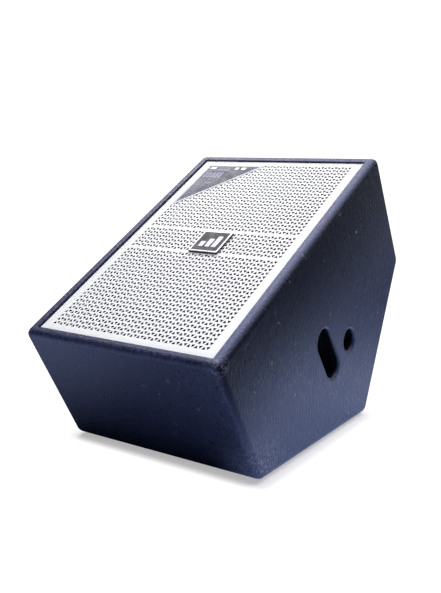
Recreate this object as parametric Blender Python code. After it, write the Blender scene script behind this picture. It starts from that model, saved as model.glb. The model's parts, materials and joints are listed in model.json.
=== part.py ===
"""A stage monitor wedge: a two-way floor loudspeaker in a plywood cabinet.

Everything is drawn in the grille frame: X across the cabinet, Y up the sloping
grille from its front edge, and Z out of the grille, with the cabinet's rim at
Z = 0. One empty stands that frame on the floor, on the cabinet's bottom panel.
All sizes are in metres.
"""

import math
from collections import namedtuple

import bmesh
import bpy
from mathutils import Matrix, Vector

# Cabinet
WIDTH = 0.376
FACE_LENGTH = 0.555
FRONT_DEPTH = 0.228
BACK_DEPTH = 0.220
TILT = math.radians(27.5)
REAR_ANGLE = math.radians(36.7)
EDGE_ROUND = 0.011
ROUND_STEPS = 4
PLY = 0.018
FRONT_PLY = 0.016
GAP = 0.0003

# Baffle and grille, measured along Z
BAFFLE_FRONT = -0.030
BAFFLE_BACK = -0.048
GRILLE_TOP = -0.003
GRILLE_SHEET = 0.0015
GRILLE_HALF_WIDTH = 0.168
GRILLE_START = 0.0180
GRILLE_END = 0.5360

# Badge and label on the grille
BADGE_CENTRE = (0.0056, 0.2732)
BADGE_HALF = 0.0286
BADGE_BORDER = 0.0030
BADGE_TOP = 0.0008
LABEL_CORNER = Vector((-0.1520, 0.5215))
LABEL_WIDTH = 0.1275
LABEL_HEIGHT = 0.1465
LABEL_FILM = 0.0004

# Drivers, with their flanges on the front of the baffle
FLANGE = 0.005
FLANGE_FRONT = BAFFLE_FRONT + GAP + FLANGE
WOOFER_Y = 0.178
WOOFER_SCREW_CIRCLE = 0.1483
WOOFER_SCREW_COUNT = 4
HORN_Y = 0.434
PORT_X = 0.120
PORT_Y = 0.405

# Hand slot and pole socket, as (Y, Z) in the side panels
SLOT_TOP = Vector((0.2514, -0.1683))
SLOT_BOTTOM = Vector((0.2571, -0.2247))
SLOT_RADIUS = 0.021
SLOT_LIP = 0.006
SOCKET_CENTRE = Vector((0.3240, -0.2250))
SOCKET_RADIUS = 0.018
SOCKET_LIP = 0.0065

# Feet
FOOT_HEIGHT = 0.004
FOOT_RADIUS = 0.013
FOOT_X = 0.150
FOOT_INSET = 0.045

# Input plate, in the frame of the rear upper panel
INPUT_Y = 0.105
SOCKET_A_X = -0.034
SOCKET_B_X = 0.004
SWITCH_X = 0.040
SWITCH_TRAVEL = 0.006
PLATE_TOP = 0.0018

SEGMENTS = 28
SMALL_SEGMENTS = 16
SCREW_SEGMENTS = 8

Screw = namedtuple("Screw", "head_radius head_height shank_radius length")
WOOFER_SCREW = Screw(0.0045, 0.003, 0.0022, 0.020)
PLATE_SCREW = Screw(0.0032, 0.0016, 0.0014, 0.013)
PILOT_CLEARANCE = 0.0004


# ---------------------------------------------------------------- outline

def meeting_point(a, along_a, b, along_b):
    """Where the line through a meets the line through b."""
    reach = (b - a).cross(along_b) / along_a.cross(along_b)
    return a + along_a * reach


HALF = WIDTH / 2
INSIDE = HALF - PLY
FRONT_RIM = Vector((0, 0))
FRONT_FOOT = Vector((0, -FRONT_DEPTH))
BACK_CORNER = Vector((FACE_LENGTH, -BACK_DEPTH))
BACK_RIM = Vector((FACE_LENGTH, 0))
KEEL = meeting_point(
    FRONT_FOOT, Vector((math.cos(TILT), -math.sin(TILT))),
    BACK_CORNER, Vector((-math.cos(REAR_ANGLE), -math.sin(REAR_ANGLE))))
OUTLINE = [FRONT_RIM, FRONT_FOOT, KEEL, BACK_CORNER, BACK_RIM]
PANEL_NAMES = ["front_panel", "bottom_panel", "rear_lower_panel", "rear_upper_panel"]
PANEL_PLY = [FRONT_PLY, PLY, PLY, PLY]


def direction(start, end):
    return (end - start).normalized()


def inward(start, end):
    """The direction from a panel's outer face into the cabinet."""
    along = direction(start, end)
    return Vector((-along.y, along.x))


def inner_outline():
    """The panels' inner corners, from the front rim round to the back rim."""
    lines = []
    for start, end, ply in zip(OUTLINE, OUTLINE[1:], PANEL_PLY):
        lines.append((start + inward(start, end) * ply, direction(start, end)))
    corners = [lines[0][0]]
    for (a, along_a), (b, along_b) in zip(lines, lines[1:]):
        corners.append(meeting_point(a, along_a, b, along_b))
    corners.append(Vector((FACE_LENGTH - PLY, 0)))
    return corners


def panel_frame(start, end):
    """A frame on a panel's outer face: origin at start, Y towards end, Z outward."""
    along = direction(start, end)
    y_axis = Vector((0, along.x, along.y))
    z_axis = Vector((0, along.y, -along.x))
    frame = Matrix((y_axis.cross(z_axis), y_axis, z_axis)).transposed().to_4x4()
    frame.translation = (0, start.x, start.y)
    return frame


BOTTOM_FRAME = panel_frame(FRONT_FOOT, KEEL)
REAR_FRAME = panel_frame(KEEL, BACK_CORNER)
INPUT_FRAME = panel_frame(BACK_CORNER, BACK_RIM)
WOOFER_FRAME = Matrix.Translation((0, WOOFER_Y, 0))
HORN_FRAME = Matrix.Translation((0, HORN_Y, 0))
GRILLE_FRAME = Matrix.Identity(4)


# ---------------------------------------------------------------- mesh tools

def add_loft(bm, loops, closed=False):
    """A skin over equal loops of points, capped at its two ends unless it closes on itself."""
    rings = [[bm.verts.new(point) for point in loop] for loop in loops]
    pairs = list(zip(rings, rings[1:]))
    if closed:
        pairs.append((rings[-1], rings[0]))
    for ring, following in pairs:
        for i, vert in enumerate(ring):
            after = (i + 1) % len(ring)
            bm.faces.new((vert, ring[after], following[after], following[i]))
    if not closed:
        bm.faces.new(rings[0][::-1])
        bm.faces.new(rings[-1])


def add_turned(bm, profile, segments, frame):
    """A solid turned about a frame's Z from a closed outline of (radius, z) points."""
    rings = []
    for radius, z in profile:
        count = segments if radius > 0 else 1
        angles = [math.tau * i / segments for i in range(count)]
        points = [Vector((radius * math.cos(a), radius * math.sin(a), z)) for a in angles]
        rings.append([bm.verts.new(frame @ point) for point in points])
    for ring, following in zip(rings, rings[1:] + rings[:1]):
        for i in range(segments):
            after = (i + 1) % segments
            corners = [ring[i % len(ring)], ring[after % len(ring)],
                       following[after % len(following)], following[i % len(following)]]
            corners = list(dict.fromkeys(corners))
            if len(corners) > 2:
                bm.faces.new(corners)


def add_box(bm, low, high, frame=GRILLE_FRAME):
    x0, y0, z0 = low
    x1, y1, z1 = high
    loops = [[frame @ Vector((x, y, z)) for x, y in ((x0, y0), (x1, y0), (x1, y1), (x0, y1))]
             for z in (z0, z1)]
    add_loft(bm, loops)


def add_prism(bm, outline, x_low, x_high):
    """A (Y, Z) outline drawn out along X."""
    add_loft(bm, [[Vector((x, point.x, point.y)) for point in outline] for x in (x_low, x_high)])


def rounded_rectangle(half_x, half_y, corner, z, steps=2):
    """A loop round a rectangle with arcs at its corners."""
    points = []
    for quarter, (sign_x, sign_y) in enumerate(((1, 1), (-1, 1), (-1, -1), (1, -1))):
        centre = Vector((sign_x * (half_x - corner), sign_y * (half_y - corner), z))
        for i in range(steps + 1):
            angle = math.pi / 2 * (quarter + i / steps)
            points.append(centre + Vector((math.cos(angle), math.sin(angle), 0)) * corner)
    return points


def superellipse(half_x, half_y, power, z, count):
    """A loop that is an ellipse at power 2 and nears a rectangle as power grows."""
    points = []
    for i in range(count):
        angle = math.tau * (i + 0.5) / count
        c, s = math.cos(angle), math.sin(angle)
        x = half_x * math.copysign(abs(c) ** (2 / power), c)
        y = half_y * math.copysign(abs(s) ** (2 / power), s)
        points.append(Vector((x, y, z)))
    return points


def obround(x, top, bottom, radius, steps=9):
    """A loop at one X round the line from top to bottom, given in (Y, Z)."""
    line = direction(bottom, top) if top != bottom else Vector((0, 1))
    start_angle = math.atan2(line.y, line.x) - math.pi / 2
    points = []
    for centre, first in ((top, start_angle), (bottom, start_angle + math.pi)):
        for i in range(steps + 1):
            if top == bottom and i == steps:
                continue
            angle = first + math.pi * i / steps
            points.append(Vector((x, centre.x + radius * math.cos(angle),
                                  centre.y + radius * math.sin(angle))))
    return points


def on_circle(radius, count, offset=0.0):
    angles = [math.tau * i / count + offset for i in range(count)]
    return [(radius * math.cos(a), radius * math.sin(a)) for a in angles]


WOOFER_SCREW_PLACES = on_circle(WOOFER_SCREW_CIRCLE, WOOFER_SCREW_COUNT,
                                math.pi / WOOFER_SCREW_COUNT)


# ---------------------------------------------------------------- objects

for old in list(bpy.data.objects):
    bpy.data.objects.remove(old)


def make_material(name, colour, roughness, metallic=0.0):
    material = bpy.data.materials.new(name)
    material.use_nodes = True
    shader = material.node_tree.nodes["Principled BSDF"]
    shader.inputs["Base Color"].default_value = (*colour, 1)
    shader.inputs["Roughness"].default_value = roughness
    shader.inputs["Metallic"].default_value = metallic
    return material


PAINT = make_material("textured_paint", (0.045, 0.050, 0.085), 0.5)
PLYWOOD = make_material("plywood", (0.50, 0.36, 0.20), 0.7)
WHITE_STEEL = make_material("white_steel", (0.90, 0.90, 0.90), 0.45)
BLACK_FOAM = make_material("black_foam", (0.02, 0.02, 0.02), 0.95)
WADDING = make_material("wadding", (0.75, 0.74, 0.70), 0.95)
BLACK_PLASTIC = make_material("black_plastic", (0.02, 0.02, 0.022), 0.4)
DECAL = make_material("decal_film", (0.09, 0.09, 0.12), 0.4)
RUBBER = make_material("rubber", (0.03, 0.03, 0.03), 0.8)
ZINC = make_material("zinc_steel", (0.55, 0.56, 0.58), 0.35, 1.0)
BLACK_STEEL = make_material("black_steel", (0.03, 0.03, 0.035), 0.4, 0.6)
CAST = make_material("cast_frame", (0.06, 0.06, 0.065), 0.5, 0.8)
PAPER = make_material("paper_cone", (0.035, 0.035, 0.04), 0.9)
CLOTH = make_material("cloth", (0.08, 0.06, 0.04), 0.9)
FERRITE = make_material("ferrite", (0.05, 0.05, 0.055), 0.7)
FOIL = make_material("titanium", (0.60, 0.58, 0.55), 0.3, 1.0)
COPPER = make_material("copper", (0.72, 0.35, 0.18), 0.3, 1.0)
BOARD = make_material("circuit_board", (0.05, 0.18, 0.07), 0.5)
FILM_CAPACITOR = make_material("capacitor", (0.55, 0.10, 0.05), 0.4)
CABLE = make_material("cable", (0.02, 0.02, 0.02), 0.6)


def rounded_cabinet():
    """The cabinet's outer shape as one solid, with every edge rounded."""
    bm = bmesh.new()
    add_prism(bm, OUTLINE, -HALF, HALF)
    bmesh.ops.bevel(bm, geom=bm.edges[:], offset=EDGE_ROUND, segments=ROUND_STEPS,
                    profile=0.5, affect="EDGES")
    return bm


def cabinet_stand():
    """The empty that stands the grille frame on the floor, centred over the origin."""
    turn = Matrix.Rotation(TILT, 4, "X")
    shape = rounded_cabinet()
    places = [turn @ vert.co for vert in shape.verts]
    shape.free()
    low_y = min(place.y for place in places)
    high_y = max(place.y for place in places)
    low_z = min(place.z for place in places)
    stand = bpy.data.objects.new("cabinet_stand", None)
    bpy.context.collection.objects.link(stand)
    stand.rotation_euler = (TILT, 0, 0)
    stand.location = (0, -(low_y + high_y) / 2, FOOT_HEIGHT - low_z)
    return stand


STAND = cabinet_stand()


def add_object(name, bm, frame):
    bmesh.ops.recalc_face_normals(bm, faces=bm.faces[:])
    mesh = bpy.data.meshes.new(name)
    bm.to_mesh(mesh)
    bm.free()
    item = bpy.data.objects.new(name, mesh)
    bpy.context.collection.objects.link(item)
    item.parent = STAND
    item.matrix_local = frame
    return item


def piece(name, bm, material, frame=GRILLE_FRAME):
    """One named part of the wedge."""
    item = add_object(name, bm, frame)
    item.data.materials.append(material)
    item.data.shade_smooth()
    item.data.set_sharp_from_angle(angle=math.radians(35))
    return item


def cut(item, bm, operation="DIFFERENCE", frame=GRILLE_FRAME):
    """Cuts a part with a tool's shape, or keeps only what lies inside it."""
    number = len(item.modifiers)
    tool = add_object(f"{item.name}_tool_{number}", bm, frame)
    tool.hide_render = True
    tool.display_type = "WIRE"
    boolean = item.modifiers.new(tool.name, "BOOLEAN")
    boolean.operation = operation
    boolean.object = tool


def turned(name, profile, material, frame=GRILLE_FRAME, segments=SEGMENTS):
    bm = bmesh.new()
    add_turned(bm, profile, segments, GRILLE_FRAME)
    return piece(name, bm, material, frame)


def box(name, low, high, material, frame=GRILLE_FRAME):
    bm = bmesh.new()
    add_box(bm, low, high)
    return piece(name, bm, material, frame)


def copies(name, first_mesh, material, frame, places):
    """Pieces of one shape, each an object of its own, at (x, y) places in a frame."""
    item = piece(f"{name}_1", first_mesh, material, frame @ Matrix.Translation((*places[0], 0)))
    for number, place in enumerate(places[1:], 2):
        twin = bpy.data.objects.new(f"{name}_{number}", item.data)
        bpy.context.collection.objects.link(twin)
        twin.parent = STAND
        twin.matrix_local = frame @ Matrix.Translation((*place, 0))


def screws(name, material, frame, places, size, seat):
    """Screws along a frame's Z axis, with their heads on a surface at height seat."""
    under = seat + GAP
    top = under + size.head_height
    tip = seat - size.length
    profile = [(0, top), (size.head_radius, top), (size.head_radius, under),
               (size.shank_radius, under), (size.shank_radius, tip), (0, tip)]
    bm = bmesh.new()
    add_turned(bm, profile, SCREW_SEGMENTS, GRILLE_FRAME)
    copies(name, bm, material, frame, places)


def add_holes(bm, frame, places, radius, top, bottom, segments=SCREW_SEGMENTS):
    """Round tools for holes along a frame's Z axis."""
    profile = [(0, top), (radius, top), (radius, bottom), (0, bottom)]
    for x, y in places:
        add_turned(bm, profile, segments, frame @ Matrix.Translation((x, y, 0)))


def drill(item, frame, places, size, seat):
    """Pilot holes in a part for screws of one size."""
    bm = bmesh.new()
    radius = size.shank_radius + PILOT_CLEARANCE
    add_holes(bm, frame, places, radius, seat + 0.001, seat - size.length - GAP)
    cut(item, bm)


# ---------------------------------------------------------------- cabinet

def add_flared_hole(bm, side, top, bottom, radius, lip):
    """A tool for a hole through a side panel whose outer edge is rounded."""
    loops = [obround(side * (HALF + 0.002), top, bottom, radius + lip)]
    for i in range(ROUND_STEPS + 1):
        angle = math.pi / 2 * i / ROUND_STEPS
        depth = lip * (1 - math.cos(angle))
        reach = radius + lip * (1 - math.sin(angle))
        loops.append(obround(side * (HALF - depth), top, bottom, reach))
    loops.append(obround(side * (INSIDE - 0.002), top, bottom, radius))
    add_loft(bm, loops)


def side_panels():
    for name, side in (("side_panel_left", -1), ("side_panel_right", 1)):
        panel = piece(name, rounded_cabinet(), PAINT)
        slab = bmesh.new()
        low, high = sorted((side * INSIDE, side * (HALF + 0.01)))
        add_box(slab, (low, -0.1, -0.5), (high, FACE_LENGTH + 0.1, 0.1))
        cut(panel, slab, "INTERSECT")
        holes = bmesh.new()
        add_flared_hole(holes, side, SLOT_TOP, SLOT_BOTTOM, SLOT_RADIUS, SLOT_LIP)
        if side > 0:
            add_flared_hole(holes, side, SOCKET_CENTRE, SOCKET_CENTRE, SOCKET_RADIUS, SOCKET_LIP)
        cut(panel, holes)


def mitred_outline(index, inner):
    """A panel's (Y, Z) outline, run out past the cabinet's rounded skin."""
    margin = 0.012
    start, end = OUTLINE[index], OUTLINE[index + 1]
    along = direction(start, end)
    out = -inward(start, end)
    corners = []
    for corner, inside, sense in ((start, inner[index], 1), (end, inner[index + 1], -1)):
        if corner in (FRONT_RIM, BACK_RIM):
            lift = Vector((0, margin))
            corners.append((corner + out * margin + lift, inside + lift))
        else:
            away = direction(inside, corner) * margin
            clearance = along * sense * GAP
            corners.append((corner + away + clearance, inside + clearance))
    (outer_start, inner_start), (outer_end, inner_end) = corners
    return [outer_start, outer_end, inner_end, inner_start]


def cross_panels():
    """The four panels between the sides, mitred where they meet."""
    inner = inner_outline()
    panels = {}
    for index, name in enumerate(PANEL_NAMES):
        panel = piece(name, rounded_cabinet(), PAINT)
        slab = bmesh.new()
        add_prism(slab, mitred_outline(index, inner), GAP - INSIDE, INSIDE - GAP)
        cut(panel, slab, "INTERSECT")
        panels[name] = panel
    return panels


def baffle():
    low = (GAP - INSIDE, FRONT_PLY + GAP, BAFFLE_BACK)
    high = (INSIDE - GAP, FACE_LENGTH - PLY - GAP, BAFFLE_FRONT)
    board = box("baffle_board", low, high, PLYWOOD)
    above, below = BAFFLE_FRONT + 0.002, BAFFLE_BACK - 0.002
    round_holes = bmesh.new()
    add_holes(round_holes, WOOFER_FRAME, [(0, 0)], 0.1412, above, below, SEGMENTS)
    ports = [(-PORT_X, PORT_Y), (PORT_X, PORT_Y)]
    add_holes(round_holes, GRILLE_FRAME, ports, 0.0292, above, below, SMALL_SEGMENTS)
    cut(board, round_holes)
    mouth = bmesh.new()
    loops = [rounded_rectangle(0.0795, 0.0795, 0.012, z) for z in (above, below)]
    add_loft(mouth, loops)
    cut(board, mouth, frame=HORN_FRAME)
    drill(board, WOOFER_FRAME, WOOFER_SCREW_PLACES, WOOFER_SCREW, FLANGE_FRONT)


def cleats():
    """The two battens that the baffle sits on."""
    top = BAFFLE_BACK - GAP
    for name, side in (("baffle_cleat_left", -1), ("baffle_cleat_right", 1)):
        low, high = sorted((side * (INSIDE - 0.020), side * (INSIDE - GAP)))
        box(name, (low, 0.030, top - 0.020), (high, 0.520, top), PLYWOOD)


def lining():
    box("lining_pad", (-0.140, 0.050, -PLY - GAP - 0.020), (0.140, 0.300, -PLY - GAP),
        WADDING, BOTTOM_FRAME)


# ---------------------------------------------------------------- grille

GRILLE_CENTRE_Y = (GRILLE_START + GRILLE_END) / 2
GRILLE_HALF_LENGTH = (GRILLE_END - GRILLE_START) / 2
GRILLE_BACK = GRILLE_TOP - GRILLE_SHEET
FACE_FRAME = Matrix.Translation((0, GRILLE_CENTRE_Y, 0))


def grille_tray():
    """The steel sheet, with its edges folded back until they stand on the baffle."""
    fold = BAFFLE_FRONT + GAP
    inner = GRILLE_SHEET
    sections = [(0.0010, GRILLE_TOP), (0, GRILLE_TOP - 0.0010), (0, fold), (inner, fold),
                (inner, GRILLE_BACK)]
    loops = [rounded_rectangle(GRILLE_HALF_WIDTH - inset, GRILLE_HALF_LENGTH - inset,
                               0.004 - inset, z) for inset, z in sections]
    bm = bmesh.new()
    add_loft(bm, loops)
    piece("grille_screen", bm, WHITE_STEEL, FACE_FRAME)


def grille_foam():
    top = GRILLE_BACK - GAP
    box("grille_foam", (-0.1545, 0.027, top - 0.003), (0.1545, 0.5265, top), BLACK_FOAM)


def badge():
    """A square plate with a raised border, and the dark inlay in it."""
    base = GRILLE_TOP + GAP
    inner = BADGE_HALF - BADGE_BORDER
    floor = BADGE_TOP - 0.0010
    sections = [(BADGE_HALF, base), (BADGE_HALF, BADGE_TOP - 0.0004),
                (BADGE_HALF - 0.0004, BADGE_TOP), (inner, BADGE_TOP), (inner, floor)]
    frame = Matrix.Translation((*BADGE_CENTRE, 0))
    bm = bmesh.new()
    add_loft(bm, [rounded_rectangle(half, half, 0.0010, z) for half, z in sections])
    piece("badge_plate", bm, WHITE_STEEL, frame)
    inlay = inner - GAP
    box("badge_face", (-inlay, -inlay, floor + GAP), (inlay, inlay, BADGE_TOP - 0.0003), DECAL,
        frame)


def label():
    """A thin right-angled triangle of film in the grille's upper left corner."""
    outline = [LABEL_CORNER, LABEL_CORNER + Vector((0, -LABEL_HEIGHT)),
               LABEL_CORNER + Vector((LABEL_WIDTH, 0))]
    base = GRILLE_TOP + GAP
    bm = bmesh.new()
    add_loft(bm, [[Vector((p.x, p.y, z)) for p in outline] for z in (base, base + LABEL_FILM)])
    piece("grille_label", bm, DECAL)


# ---------------------------------------------------------------- woofer

def arc(centre, radius, first, last, steps):
    """Points of a (radius, z) profile along an arc, with angles in degrees."""
    points = []
    for i in range(steps + 1):
        angle = math.radians(first + (last - first) * i / steps)
        points.append((centre[0] + radius * math.cos(angle),
                       centre[1] + radius * math.sin(angle)))
    return points


def woofer_frame():
    """The cast basket: a flange, a dished wall with six windows, and a seat for the motor."""
    back = BAFFLE_FRONT + GAP
    front = FLANGE_FRONT
    profile = [(0.154, back), (0.154, front), (0.1378, front), (0.1355, -0.034),
               (0.090, -0.0835), (0.083, -0.0850), (0.070, -0.0850), (0.070, -0.0985),
               (0.032, -0.0985), (0.032, -0.1025), (0.075, -0.1025), (0.075, -0.0895),
               (0.0935, -0.0870), (0.139, -0.0380), (0.139, back)]
    frame = turned("woofer_frame", profile, CAST, WOOFER_FRAME)
    windows = bmesh.new()
    for i in range(6):
        turn = Matrix.Rotation(math.tau * i / 6, 4, "Z")
        add_box(windows, (0.098, -0.042, -0.076), (0.150, 0.042, -0.042), turn)
    cut(frame, windows, frame=WOOFER_FRAME)
    holes = bmesh.new()
    add_holes(holes, GRILLE_FRAME, WOOFER_SCREW_PLACES, 0.0028, front + 0.001, back - 0.001)
    cut(frame, holes, frame=WOOFER_FRAME)
    screws("woofer_screw", BLACK_STEEL, WOOFER_FRAME, WOOFER_SCREW_PLACES, WOOFER_SCREW, front)


CONE_RIM = (0.1165, -0.0262)
CONE_NECK = (0.0264, -0.0745)
CONE_SLOPE = (CONE_RIM[1] - CONE_NECK[1]) / (CONE_RIM[0] - CONE_NECK[0])


def woofer_diaphragm():
    """The moving cone, its dust cap, and the coil on its former."""
    thickness = 0.0015
    turned("woofer_cone", [CONE_RIM, CONE_NECK, (CONE_NECK[0], CONE_NECK[1] - thickness),
                           (CONE_RIM[0], CONE_RIM[1] - thickness)], PAPER, WOOFER_FRAME)
    base = 0.036
    rise = 0.0105
    shell = 0.0008
    bend = (base ** 2 + rise ** 2) / (2 * rise)
    foot = CONE_RIM[1] - (CONE_RIM[0] - base) * CONE_SLOPE + 0.0006
    radii = [base * i / 3 for i in range(4)]
    under = [(r, foot + math.sqrt(bend ** 2 - r ** 2) - (bend - rise)) for r in radii]
    over = [(r, z + shell) for r, z in reversed(under)]
    turned("woofer_dust_cap", under + over, PAPER, WOOFER_FRAME)
    turned("voice_coil", [(0.0252, -0.0738), (0.0258, -0.0738), (0.0258, -0.0985),
                          (0.0272, -0.0985), (0.0272, -0.1155), (0.0258, -0.1155),
                          (0.0258, -0.1205), (0.0252, -0.1205)], COPPER, WOOFER_FRAME)


def woofer_suspension():
    """The half-roll surround and the corrugated spider."""
    seat = FLANGE_FRONT + GAP
    lip = 0.0010
    middle = (0.1282, seat + lip)
    roll = arc(middle, 0.0094, 0, 180, 5)
    hollow = arc((middle[0], seat), 0.0084, 180, 0, 5)
    profile = [(0.1432, seat), (0.1432, seat + lip)] + roll
    profile += [(0.1125, seat + lip), (0.1125, seat)] + hollow
    turned("woofer_surround", profile, RUBBER, WOOFER_FRAME)
    turned("woofer_gasket", [(0.1385, seat + lip + GAP), (0.1432, seat + lip + GAP),
                             (0.1432, seat + 0.0043), (0.1385, seat + 0.0043)],
           RUBBER, WOOFER_FRAME)
    waves = 2
    inner, outer, height = 0.0266, 0.0810, -0.0840
    over = []
    for i in range(2 * waves + 1):
        radius = inner + (outer - inner) * i / (2 * waves)
        over.append((radius, height + 0.0013 + (0.0012 if i % 2 else 0)))
    under = [(radius, z - 0.0009) for radius, z in reversed(over)]
    turned("woofer_spider", over + under, CLOTH, WOOFER_FRAME)


def woofer_motor():
    """The top plate, the ferrite ring, and the back plate with its vented pole."""
    turned("woofer_top_plate", [(0.0285, -0.1028), (0.0775, -0.1028), (0.0775, -0.1108),
                                (0.0285, -0.1108)], BLACK_STEEL, WOOFER_FRAME)
    turned("woofer_magnet", [(0.0360, -0.1111), (0.0850, -0.1111), (0.0850, -0.1286),
                             (0.0360, -0.1286)], FERRITE, WOOFER_FRAME)
    turned("woofer_back_plate", [(0.0080, -0.1028), (0.0243, -0.1028), (0.0243, -0.1289),
                                 (0.0775, -0.1289), (0.0775, -0.1369), (0.0080, -0.1369)],
           BLACK_STEEL, WOOFER_FRAME)


# ---------------------------------------------------------------- horn and its driver

THROAT_RADIUS = 0.0127
THROAT_Z = -0.120


def horn():
    """A waveguide that opens from a round throat to a square mouth with a flange."""
    count = 24
    stations = 6
    wall = 0.003
    mouth = 0.074

    def section(share, thickness, z):
        half = THROAT_RADIUS + (mouth - THROAT_RADIUS) * share ** 1.6 + thickness
        return superellipse(half, half, 2 + 7 * share, z, count)

    shares = [i / stations for i in range(stations + 1)]
    heights = [THROAT_Z + (FLANGE_FRONT - THROAT_Z) * share for share in shares]
    back = BAFFLE_FRONT + GAP
    loops = [section(share, 0, z) for share, z in zip(shares, heights)]
    loops.append(superellipse(0.084, 0.090, 14, FLANGE_FRONT, count))
    loops.append(superellipse(0.084, 0.090, 14, back, count))
    loops.append(section(1.0, wall, back))
    for share, z in list(zip(shares, heights))[-2:0:-1]:
        loops.append(section(share, wall, z))
    loops.append(superellipse(0.0170, 0.0170, 2, THROAT_Z + 0.005, count))
    loops.append(superellipse(0.0360, 0.0360, 2, THROAT_Z + 0.005, count))
    loops.append(superellipse(0.0360, 0.0360, 2, THROAT_Z, count))
    bm = bmesh.new()
    add_loft(bm, loops, closed=True)
    piece("horn", bm, BLACK_PLASTIC, HORN_FRAME)


def hf_driver():
    """The compression driver, from its pole plate on the horn back to its cover."""
    plate = THROAT_Z - GAP
    turned("hf_pole_plate", [(0.0120, plate), (0.0450, plate), (0.0450, plate - 0.006),
                             (0.0205, plate - 0.006), (0.0205, -0.1495), (0.0120, -0.1495)],
           BLACK_STEEL, HORN_FRAME, SMALL_SEGMENTS)
    turned("hf_magnet", [(0.0265, -0.1266), (0.0480, -0.1266), (0.0480, -0.1396),
                         (0.0265, -0.1396)], FERRITE, HORN_FRAME, SMALL_SEGMENTS)
    turned("hf_top_plate", [(0.0228, -0.1399), (0.0450, -0.1399), (0.0450, -0.1459),
                            (0.0228, -0.1459)], BLACK_STEEL, HORN_FRAME, SMALL_SEGMENTS)
    bend = 0.0330
    drop = math.sqrt(bend ** 2 - 0.0219 ** 2)
    radii = [0.0219 * i / 3 for i in range(4)]
    outer = [(r, -0.1530 - math.sqrt(bend ** 2 - r ** 2) + drop) for r in radii]
    inner = [(r, z + 0.0006) for r, z in reversed(outer)]
    inner[0] = (0.0213, inner[0][1])
    former = [(0.0240, outer[-1][1]), (0.0240, -0.1524), (0.0219, -0.1524), (0.0219, -0.1415),
              (0.0213, -0.1415)]
    turned("hf_diaphragm", outer + former + inner, FOIL, HORN_FRAME, SMALL_SEGMENTS)
    turned("hf_surround", [(0.0244, -0.1524), (0.0355, -0.1524), (0.0355, -0.1530),
                           (0.0244, -0.1530)], CLOTH, HORN_FRAME, SMALL_SEGMENTS)
    turned("hf_rear_cover", [(0.0360, -0.1462), (0.0450, -0.1462), (0.0450, -0.1710),
                             (0.0420, -0.1740), (0, -0.1740), (0, -0.1700), (0.0360, -0.1700)],
           BLACK_PLASTIC, HORN_FRAME, SMALL_SEGMENTS)


def ports():
    front = BAFFLE_FRONT + GAP
    profile = [(0.0285, front + 0.0025), (0.0330, front + 0.0025), (0.0330, front),
               (0.0288, front), (0.0288, -0.140), (0.0262, -0.140), (0.0262, front - 0.004)]
    for name, x in (("port_tube_left", -PORT_X), ("port_tube_right", PORT_X)):
        frame = Matrix.Translation((x, PORT_Y, 0))
        turned(name, profile, BLACK_PLASTIC, frame, SMALL_SEGMENTS)


# ---------------------------------------------------------------- crossover

BOARD_BACK = -PLY - GAP
BOARD_FRONT = BOARD_BACK - 0.0016


def crossover():
    """The crossover network on the rear lower panel; in its frame, inside is -Z."""
    box("crossover_board", (-0.075, 0.085, BOARD_FRONT), (0.075, 0.185, BOARD_BACK), BOARD,
        REAR_FRAME)
    seat = BOARD_FRONT - GAP
    coil = [(0.010, seat), (0.024, seat), (0.024, seat - 0.020), (0.010, seat - 0.020)]
    turned("crossover_inductor", coil, COPPER, REAR_FRAME @ Matrix.Translation((0.046, 0.135, 0)),
           SMALL_SEGMENTS)
    can = [(0, 0.025), (0.012, 0.025), (0.012, -0.025), (0, -0.025)]
    lying = Matrix.Rotation(math.pi / 2, 4, "X")
    turned("crossover_capacitor", can, FILM_CAPACITOR,
           REAR_FRAME @ Matrix.Translation((-0.056, 0.135, seat - 0.012)) @ lying, SMALL_SEGMENTS)


# ---------------------------------------------------------------- input plate

PLATE_SCREW_PLACES = [(x, INPUT_Y + y) for x in (-0.0565, 0.0565) for y in (-0.0365, 0.0365)]


def input_plate(panel):
    """The connector plate over its opening in the rear upper panel."""
    opening = bmesh.new()
    centre = Matrix.Translation((0, INPUT_Y, 0))
    add_loft(opening, [rounded_rectangle(0.052, 0.032, 0.004, z) for z in (0.002, -PLY - 0.002)])
    cut(panel, opening, frame=INPUT_FRAME @ centre)
    drill(panel, INPUT_FRAME, PLATE_SCREW_PLACES, PLATE_SCREW, PLATE_TOP)
    bm = bmesh.new()
    add_loft(bm, [rounded_rectangle(0.062, 0.042, 0.004, z) for z in (GAP, PLATE_TOP)])
    plate = piece("input_plate", bm, BLACK_STEEL, INPUT_FRAME @ centre)
    holes = bmesh.new()
    sockets = [(SOCKET_A_X, INPUT_Y), (SOCKET_B_X, INPUT_Y)]
    add_holes(holes, GRILLE_FRAME, sockets, 0.0131, 0.003, -0.001, SMALL_SEGMENTS)
    add_holes(holes, GRILLE_FRAME, PLATE_SCREW_PLACES, 0.0019, 0.003, -0.001)
    add_box(holes, (SWITCH_X - 0.0062, INPUT_Y - 0.0028, -0.001),
            (SWITCH_X + 0.0062, INPUT_Y + 0.0028, 0.003))
    cut(plate, holes, frame=INPUT_FRAME)
    screws("input_plate_screw", ZINC, INPUT_FRAME, PLATE_SCREW_PLACES, PLATE_SCREW, PLATE_TOP)


def speaker_sockets():
    """Two round loudspeaker sockets, each a flanged cup in the plate."""
    seat = PLATE_TOP + GAP
    profile = [(0, -0.0120), (0.0105, -0.0120), (0.0105, seat + 0.002), (0.0155, seat + 0.002),
               (0.0155, seat), (0.0126, seat), (0.0126, -0.0270), (0, -0.0270)]
    for name, x in (("speaker_socket_a", SOCKET_A_X), ("speaker_socket_b", SOCKET_B_X)):
        frame = INPUT_FRAME @ Matrix.Translation((x, INPUT_Y, 0))
        turned(name, profile, BLACK_PLASTIC, frame, SMALL_SEGMENTS)


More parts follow.
